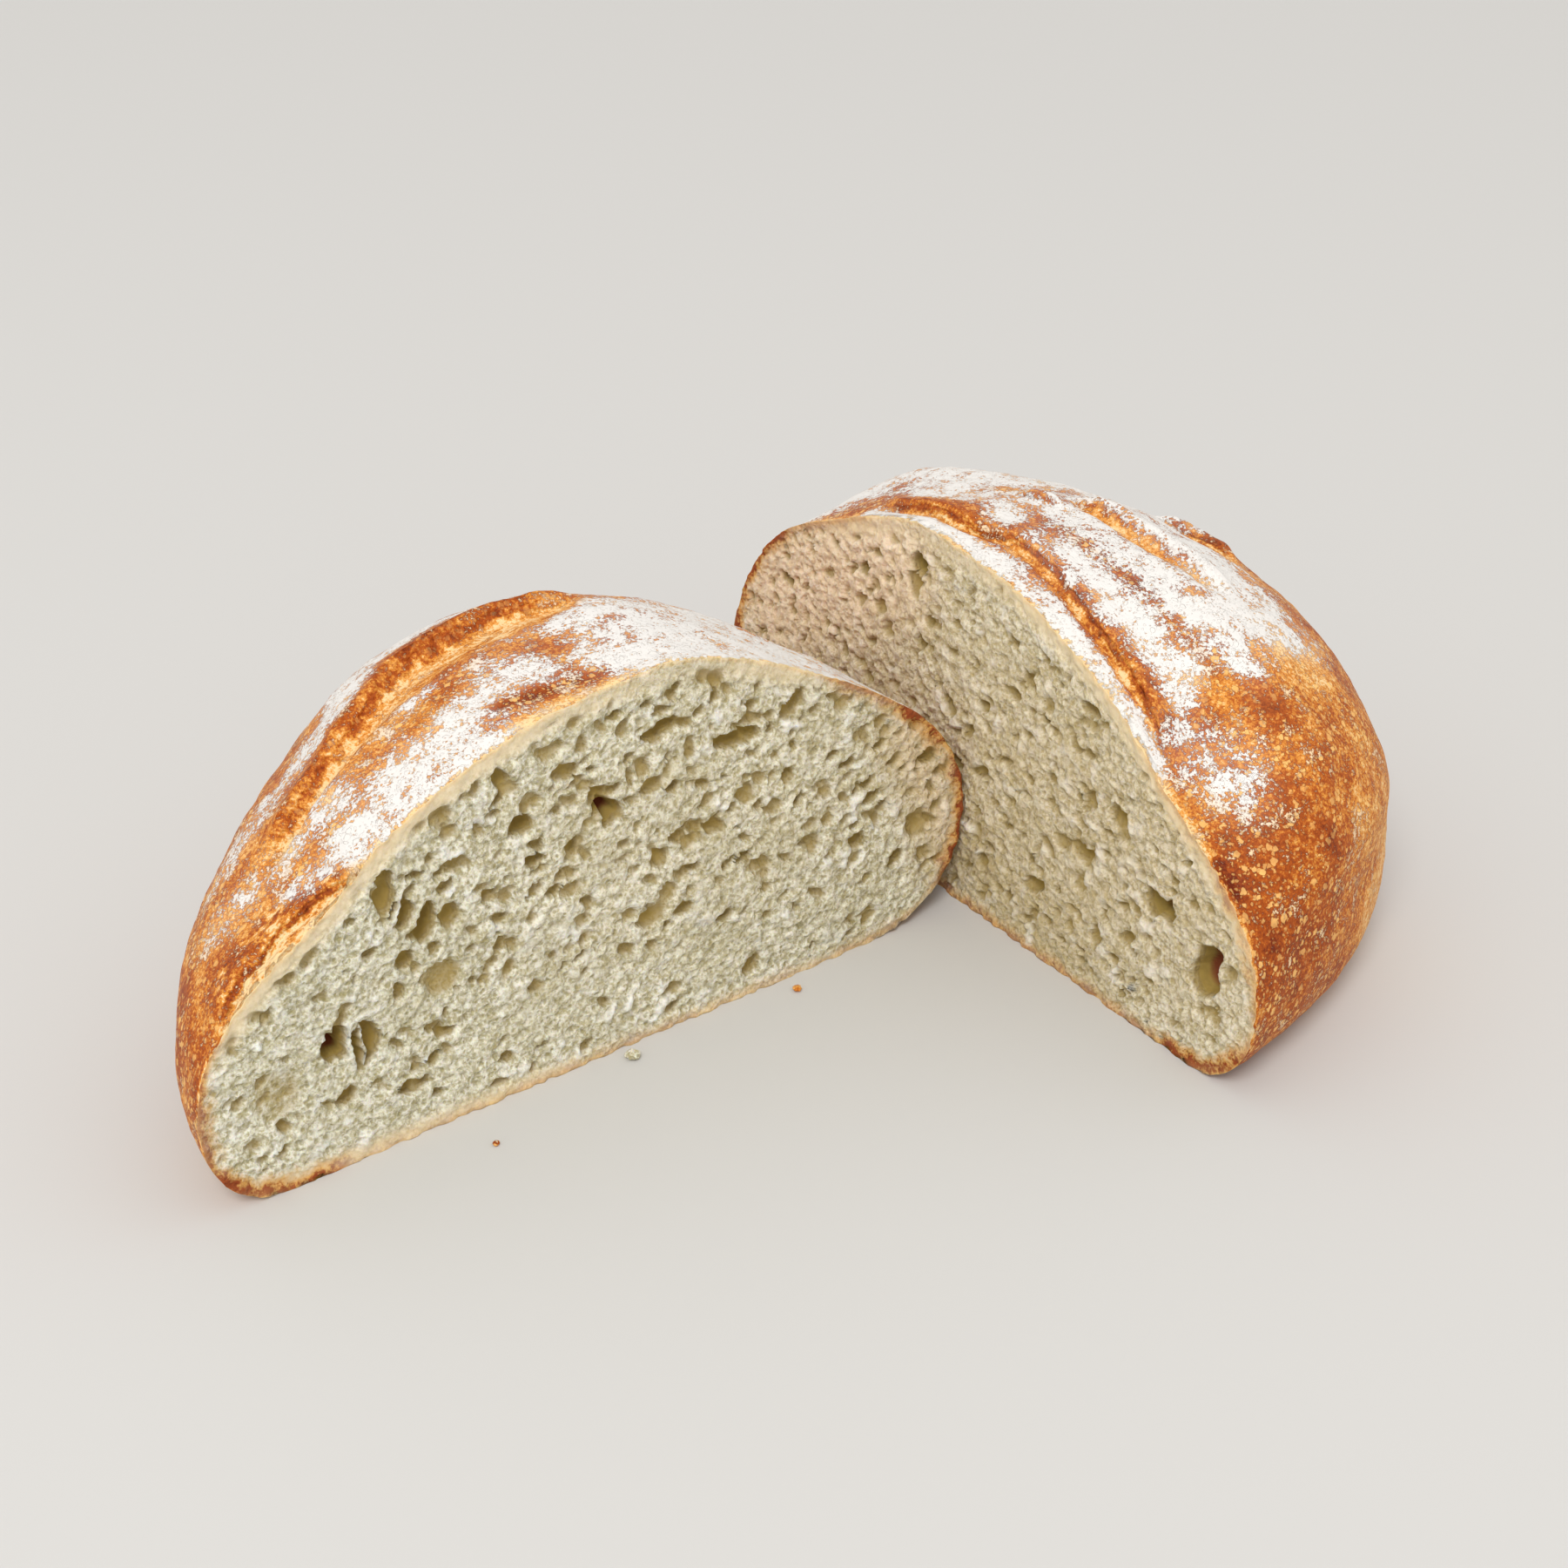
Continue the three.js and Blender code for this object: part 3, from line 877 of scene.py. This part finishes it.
# The halves. Strokes run from one point to another, then give their width and amount. On the crust a
# point is across and depth from the cut, and on the cut face it is across and up, all in mm.
# pores: sizes, spacing, depth to size, share kept, distance kept from the rim, and how much the calm
# parts thin them. holes: across, up, half width, half height, depth, turn in degrees.
# webs: torn walls left standing in holes, from, to, half thickness and how deep their tops lie.
frontHalf = {
    "name": "front_half",
    "slot": "bread_front",
    "mirrored": False,
    "turn": 37.1,
    "depth": 80.4,
    "planRoundness": 1.8,
    "topRoundness": 2.75,
    "pinch": -0.013,
    "swell": 0.024,
    "drift": 11.9,
    "domeBlend": 1.2,
    "farPull": 0.0,
    "farLift": 0.0,
    "seed": 11,
    "poreSeed": 3,
    "bake": 0.48,
    "dusting": 0.14,
    "bareSlash": 0.85,
    "paleRim": 0.3,
    "bald": [((-16, 10), (-8, 8), 2.5, 0.6), ((-30, 20), (-20, 25), 2.5, 0.4)],
    "denseCrumb": [
        ((-84, 44), (-50, 71), 8, 1.2), ((-50, 71), (-15, 85), 8, 1.2), ((-15, 85), (50, 76), 6, 0.8),
        ((-82, 3), (-10, 0), 3.2, 0.9), ((-10, 0), (80, 0), 2, 0.6),
    ],
    "slashes": [
        {"line": [(-62, 24, 4), (-52, 29, 5), (-38, 35, 8), (-24, 41, 12), (0, 43, 13), (18, 40, 10)],
         "ends": 6, "waver": 1.0, "depth": 2.2, "earHeight": 2.6, "earLength": 7, "dark": 0.8},
        {"line": [(-86, 4, 4), (-78, 5.5, 4.5), (-70, 6.5, 5), (-63, 5, 4.5), (-56, 2, 3)],
         "ends": 3, "waver": 0.5, "depth": 0.8, "earHeight": 1.3, "earLength": 4, "dark": 1.3},
    ],
    "cracks": [((7, 6.2), (-17, 9.3), 1.0, 0.25)],
    "flour": [
        ((-8, 18), (-40, 9), 9, 1.0), ((-40, 7), (-62, 8), 6, 1.0), ((18, 14), (80, 10), 12, 1.8),
        ((24, 2), (74, 2), 7, 1.7), ((-20, 2), (-50, 1), 3.5, 0.8), ((-22, 28), (-27, 28), 3, 0.8),
        ((14, 54), (-30, 52), 5, 0.8), ((-50, 20), (-76, 22), 7, 0.6), ((-50, 36), (-80, 34), 6, 0.4),
        ((16, 26), (60, 30), 12, 0.8), ((4, 30), (-10, 34), 5, 0.4),
        ((-28, 45), (-60, 36), 5, 0.7),
    ],
    "darker": [((8, 6), (-18, 9), 3, 0.25), ((-20, 22), (5, 20), 4, 0.2)],
    "paler": [((-40, 28), (-60, 23), 5, 0.15), ((-58, 0), (-80, 1), 2.6, 0.3), ((20, 2), (-16, 3), 2, 0.2)],
    "toasted": [
        ((78, 56), (95, 40), 5, 1.0), ((95, 40), (93, 10), 5, 1.0), ((-90, 8), (-70, 0), 7, 1.0),
        ((-70, 0), (88, 2), 2.5, 0.3), ((-92, 12), (-93, 40), 4, 0.8), ((60, 70), (78, 56), 4, 0.6),
    ],
    # warm crumb tone, partly painted bounce light where the strokes are strong
    "warmCrumbAndBounce": [((80, 50), (92, 20), 12, 0.8), ((10, 45), (60, 45), 40, 0.2)],
    "shadedCrumb": [((20, 84), (80, 60), 8, 0.25)],
    "calmCrumb": [((-60, 12), (70, 14), 14, 0.75), ((-85, 20), (-60, 45), 12, 0.6)],
    "pores": [
        ((0.55, 0.95), 1.7, 0.75, 1.0, 0.2, 0),
        ((0.9, 1.7), 4.0, 1.5, 0.6, 1.8, 1),
        ((1.5, 2.6), 9, 1.4, 0.5, 4, 1),
    ],
    "holes": [
        (-63, 29, 4.5, 3.6, 9, 10), (-57, 27, 3.6, 5.0, 5, 0), (-77, 23, 6.0, 7.0, 1.25, 20),
        (-42, 49, 2.6, 4.6, 5.5, -10), (-36, 49, 2.8, 3.0, 3.5, 0),
        (-39, 35, 4.5, 4.0, 2.2, 20), (-19, 63, 3.2, 2.2, 5, 15), (-7, 53.5, 2.2, 2.4, 3.5, 0),
        (2.7, 57.6, 2.6, 2.8, 9, -30), (-0.4, 60, 2.4, 1.6, 5, 20), (17.8, 59, 2.0, 1.3, 3, 10),
        (34, 64.5, 6.5, 1.8, 4.5, -8), (15, 73, 5.5, 1.6, 4.5, 6), (47, 51, 1.8, 1.4, 3, 0),
        (50, 44, 1.8, 1.6, 3, 0), (36, 35, 2.0, 1.3, 3, 0), (66, 28, 2.2, 1.8, 3.5, 0),
        (20.5, 28, 2.0, 1.4, 3, 0), (30.6, 22, 2.2, 1.4, 3, 0), (83, 26, 3.4, 4.0, 2.6, 0),
        (91, 38, 1.4, 3.0, 2, 0), (63, 48, 2.0, 1.2, 2.8, 0), (-39, 22, 2.6, 1.4, 3, 0),
        (-48.5, 12, 2.6, 1.6, 3.5, 0), (-23.5, 71.6, 3.4, 1.3, 3, 30), (-10, 77.7, 2.6, 1.0, 2, 10),
        (-50, 58, 2.4, 4.0, 4, -20), (-47, 53, 2.6, 3.4, 4.5, -10), (-16, 54, 2.4, 1.3, 4, 10),
    ],
    "webs": [
        ((-60.6, 33), (-60.2, 24), 0.75, 0.3), ((-58.0, 31), (-57.0, 22), 0.4, 1.2),
        ((-66, 31), (-70, 35), 0.5, 0.4), ((-60.5, 33), (-53, 34), 0.6, 0.2),
        ((-46, 58), (-50, 50), 0.5, 0.6),
    ],
}

rearHalf = {
    "name": "rear_half",
    "slot": "bread_rear",
    "mirrored": True,
    "turn": -54.56,
    "depth": 83.3,
    "planRoundness": 2.4,
    "topRoundness": 2.4,
    "pinch": -0.065,
    "swell": 0.044,
    "drift": -0.7,
    "domeBlend": 0.42,
    "farPull": 5.0,
    "farLift": 4.0,
    "seed": 31,
    "poreSeed": 9,
    "bake": 0.52,
    "dusting": 0.09,
    "bareSlash": 0.75,
    "paleRim": 0.35,
    "bald": [
        ((-58, 42), (-63, 46), 7, 0.8), ((2, 17), (-26, 22), 5, 0.6), ((-36, 20), (-54, 22), 5.5, 0.6),
        ((24, 12), (14, 14), 5, 0.5),
    ],
    "denseCrumb": [
        ((-88, 40), (-50, 71), 7, 1.0), ((-50, 71), (-15, 85), 7, 1.0), ((-15, 85), (50, 76), 6, 0.8),
    ],
    "slashes": [
        {"line": [(-58, 5, 3), (-46, 7.5, 4), (-24, 10, 4.5), (0, 11.5, 5), (12, 8, 4.5), (38, 6, 4)],
         "ends": 6, "waver": 0.6, "depth": 1.4, "earHeight": 1.8, "earLength": 6, "dark": 1.0},
        {"line": [(-34, 40, 5), (-26, 40, 7), (-14, 38, 7), (6, 35, 5)],
         "ends": 5, "waver": 1.0, "depth": 1.6, "earHeight": 2.6, "earLength": 5, "dark": 0.6},
        {"line": [(-18, 57, 3), (-9, 56, 4), (0, 54, 3)],
         "ends": 4, "waver": 0.5, "depth": 0.5, "earHeight": 2.6, "earLength": 4, "dark": 1.0},
        {"line": [(6, 28, 2), (16, 27, 2)],
         "ends": 3, "waver": 0.5, "depth": 0.3, "earHeight": 2.4, "earLength": 3, "dark": 0.9},
    ],
    "cracks": [((-79, 1.7), (-83, 3), 1.6, 1.0)],
    "flour": [
        ((36, 1.5), (-56, 1.5), 4.5, 1.3), ((32, 16), (-48, 16), 8, 1.15), ((12, 26), (-50, 28), 9, 0.95),
        ((10, 48), (-48, 42), 11, 1.3), ((42, 30), (2, 62), 15, 1.1), ((60, 20), (80, 10), 12, 1.0),
        ((-56, 8), (-70, 14), 8, 0.55),
    ],
    "darker": [((0, 22), (-30, 24), 5, 0.2), ((-82, 4), (-92, 30), 12, 0.1)],
    "paler": [
        ((-58, 44), (-62, 46), 10, 0.35), ((-51, 19), (-54, 20), 5, 0.15),
        ((-74, 50), (-60, 70), 14, 0.14),
    ],
    "toasted": [
        ((74, 62), (90, 44), 5, 1.0), ((90, 44), (95, 26), 5, 1.0), ((-90, 8), (-70, 0), 7, 1.0),
        ((-66, 0), (88, 2), 2.5, 0.6), ((-82, 47), (-95, 24), 3, 0.6), ((-60, 62), (-82, 47), 3, 0.3),
        ((40, 82), (74, 62), 3, 0.4),
    ],
    # warm crumb tone over the face, and painted bounce light lightening the far end of the cut face
    "warmCrumbAndBounce": [((30, 75), (80, 45), 30, 1.0), ((-90, 45), (40, 45), 60, 0.62)],
    "shadedCrumb": [((-30, 4), (60, 6), 24, 0.8)],
    "calmCrumb": [((40, 40), (85, 30), 14, 0.4)],
    "pores": [
        ((0.55, 0.95), 1.7, 0.85, 1.0, 0.2, 0),
        ((0.9, 1.4), 4.0, 1.5, 0.6, 1.8, 1),
        ((1.5, 2.2), 10, 1.3, 0.45, 4, 1),
    ],
    "holes": [
        (-65, 33, 4.0, 3.4, 9, 20), (-62.5, 33, 2.8, 4.2, 5, 0), (-79, 24, 3.6, 6.4, 8, 10),
        (19, 77.5, 2.6, 3.0, 7, -30), (21, 72, 2.0, 3.4, 3, -20), (39, 68, 2.0, 1.8, 4, 0),
        (71.5, 50, 3.4, 1.6, 3, 20), (18, 59, 1.6, 2.6, 3, 0), (16, 65, 1.2, 1.6, 3, 0),
        (46, 45, 1.6, 2.4, 3, 0), (-15, 60, 2.2, 1.6, 3, 0), (-39, 33, 3.0, 2.2, 3.5, 20),
        (-50, 47, 2.4, 3.0, 3.5, 0), (-41, 47, 2.0, 2.4, 3, 0), (-4.5, 53, 2.0, 1.6, 3, 0),
        (-25.5, 59, 1.8, 1.4, 3, 0),
    ],
    "webs": [((-61, 37), (-66, 36), 0.8, 0.4)],
}

crumbFinish = crumbFinishOf(crumbLook)
crustFinish = crustFinishOf(crustLook)
for half in (frontHalf, rearHalf):
    makeHalf(half, crustFinish, crumbFinish)

crumbShape = {
    "lumps": (4, 0.22),          # how often over the ball, and how rough
    "grain": (11, 0.14),
    "farFromRim": 20.0,          # so that no rind shows on a white crumb
}

looseCrumbs = {
    "crumb_white": {"finish": crumbFinish, "slot": "crumb_light", "seed": 51, "bake": 0.2},
    "crumb_crust": {"finish": crustFinish, "slot": "crumb_brown", "seed": 52, "bake": 0.35},
    "crumb_small": {"finish": crustFinish, "slot": "crumb_brown", "seed": 53, "bake": 0.55},
}


def makeLooseCrumb(name, look):
    # a broken lump: a subdivided ball roughened by noise and set down flat
    low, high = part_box(name)
    middle = (Vector(low) + Vector(high)) / 2
    size = Vector(high) - Vector(low)
    deselectAll()
    bpy.ops.mesh.primitive_ico_sphere_add(subdivisions=5, radius=0.5, location=(0, 0, 0))
    lump = bpy.context.object
    ball = getPoints(lump.data)
    rough = 1
    for step, (often, amount) in enumerate((crumbShape["lumps"], crumbShape["grain"])):
        rough = rough + amount * softNoise(ball * often, 1, look["seed"] + step)
    ball = ball * rough[:, None]
    ball = ball / (ball.max(axis=0) - ball.min(axis=0))
    ball = ball * np.array(size)
    ball[:, 2] -= ball[:, 2].min()
    setPoints(lump.data, ball + np.array([middle.x, middle.y, 0]))
    setMask(lump.data, "bake", np.full(len(ball), look["bake"]))
    setMask(lump.data, "fromRim", np.full(len(ball), crumbShape["farFromRim"]))
    lump.data.materials.append(look["finish"])
    lump.name = name + "_broken"
    bpy.ops.object.shade_smooth()
    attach(lump, "root")
    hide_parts(name)


for name, look in looseCrumbs.items():
    makeLooseCrumb(name, look)
print("loose crumbs finished")

studio = {
    "floorColour": (0.61, 0.60, 0.58),
    "sky": (1.0, 0.985, 0.965),
    "skyStrength": 0.86,
    "keyPower": 50,
    "keySize": 1.1,
    "keyPlace": (-0.375, -2.1, 2.375),
    "aim": (-0.00552, 0.0641, 0.0),     # the point on the floor in the middle of the view
    "distance": 0.7514,
    "lookDown": 30.77,                  # degrees
    "lens": 71.5,
}


def makeStudio(look):
    deselectAll()
    bpy.ops.mesh.primitive_plane_add(size=8, location=(0, 2, 0))
    floor = bpy.context.object
    floor.name = "studio_floor"
    finish, tree, shader = newFinish("pale_floor")
    shader.inputs["Base Color"].default_value = (*look["floorColour"], 1)
    shader.inputs["Roughness"].default_value = 0.9
    floor.data.materials.append(finish)

    world = bpy.data.worlds.new("soft_daylight")
    bpy.context.scene.world = world
    world.use_nodes = True
    sky = world.node_tree.nodes["Background"]
    sky.inputs["Color"].default_value = (*look["sky"], 1)
    sky.inputs["Strength"].default_value = look["skyStrength"]

    bpy.ops.object.light_add(type="AREA", location=look["keyPlace"])
    key = bpy.context.object
    key.name = "window_light"
    key.data.shape = "DISK"
    key.data.size = look["keySize"]
    key.data.energy = look["keyPower"]
    key.rotation_euler = (-Vector(look["keyPlace"])).to_track_quat("-Z", "Y").to_euler()

    down = math.radians(look["lookDown"])
    back = Vector((0, -math.cos(down), math.sin(down))) * look["distance"]
    bpy.ops.object.camera_add(location=Vector(look["aim"]) + back, rotation=(math.pi / 2 - down, 0, 0))
    camera = bpy.context.object
    camera.data.lens = look["lens"]
    camera.data.sensor_width = 36
    bpy.context.scene.camera = camera
    bpy.context.scene.view_settings.view_transform = "Standard"


makeStudio(studio)
print("studio finished")
